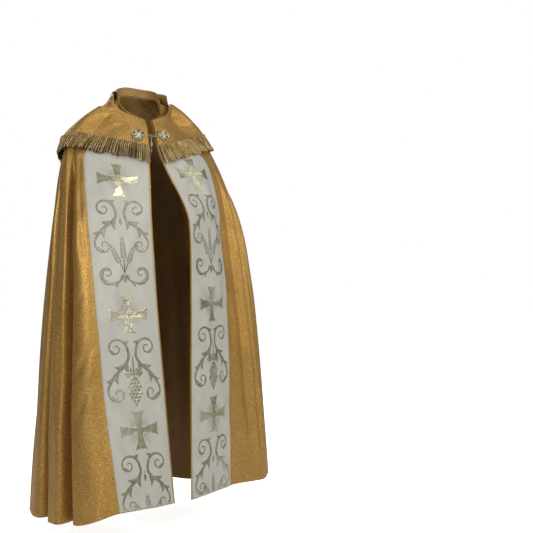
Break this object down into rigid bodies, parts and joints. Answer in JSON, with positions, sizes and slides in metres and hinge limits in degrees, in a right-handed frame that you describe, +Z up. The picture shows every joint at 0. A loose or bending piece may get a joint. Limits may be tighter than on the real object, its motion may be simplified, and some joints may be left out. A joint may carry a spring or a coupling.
{
  "type": "cope vestment",
  "caption": "Long open-fronted ceremonial cloak of gold cloth, with white figured front bands, a fringed pointed hood cape over the shoulders and a two-plaque chest clasp.",
  "frame": {"origin": "base of the wearer's neck, on the centre line, level with the sides of the neck seam, where the wearer carries the cope", "axes": "+Z up along the wearer, -Y to the wearer's front, +X to the wearer's left"},
  "size_m": [0.7636, 0.5884, 1.3346],
  "materials": {
    "gold_cloth": "woven lame with a soft sheen",
    "orphrey_satin": "satin with metallic figuring",
    "bullion_fringe": "twisted metallic thread",
    "clasp_metal": "pale cast metal, worn bright"
  },
  "bodies": {
    "cope": {"cope_back": "gold_cloth", "cope_front_right": "gold_cloth", "cope_front_left": "gold_cloth", "orphrey_right": "orphrey_satin", "orphrey_left": "orphrey_satin", "hood_right": "gold_cloth", "hood_left": "gold_cloth", "hood_band": "orphrey_satin", "collar_band": "gold_cloth", "fringe_right": "bullion_fringe", "fringe_left": "bullion_fringe", "clasp_plaque_right": "clasp_metal", "clasp_plaque_left": "clasp_metal", "clasp_link_right": "clasp_metal", "clasp_link_left": "clasp_metal", "clasp_ring": "clasp_metal"},
    "jump_link": {"pendant_link": "clasp_metal"},
    "drop": {"pendant": "clasp_metal"}
  },
  "joints": [
    {"name": "pendant_swing_forward", "type": "hinge", "parent": "cope", "child": "jump_link", "pos_m": [-0.011, -0.1178, -0.1215], "axis": [-1, 0, 0], "range_deg": [0, 70]},
    {"name": "pendant_swing_sideways", "type": "hinge", "parent": "jump_link", "child": "drop", "pos_m": [-0.011, -0.1178, -0.125], "axis": [0, 1, 0], "range_deg": [-9, 9]}
  ]
}
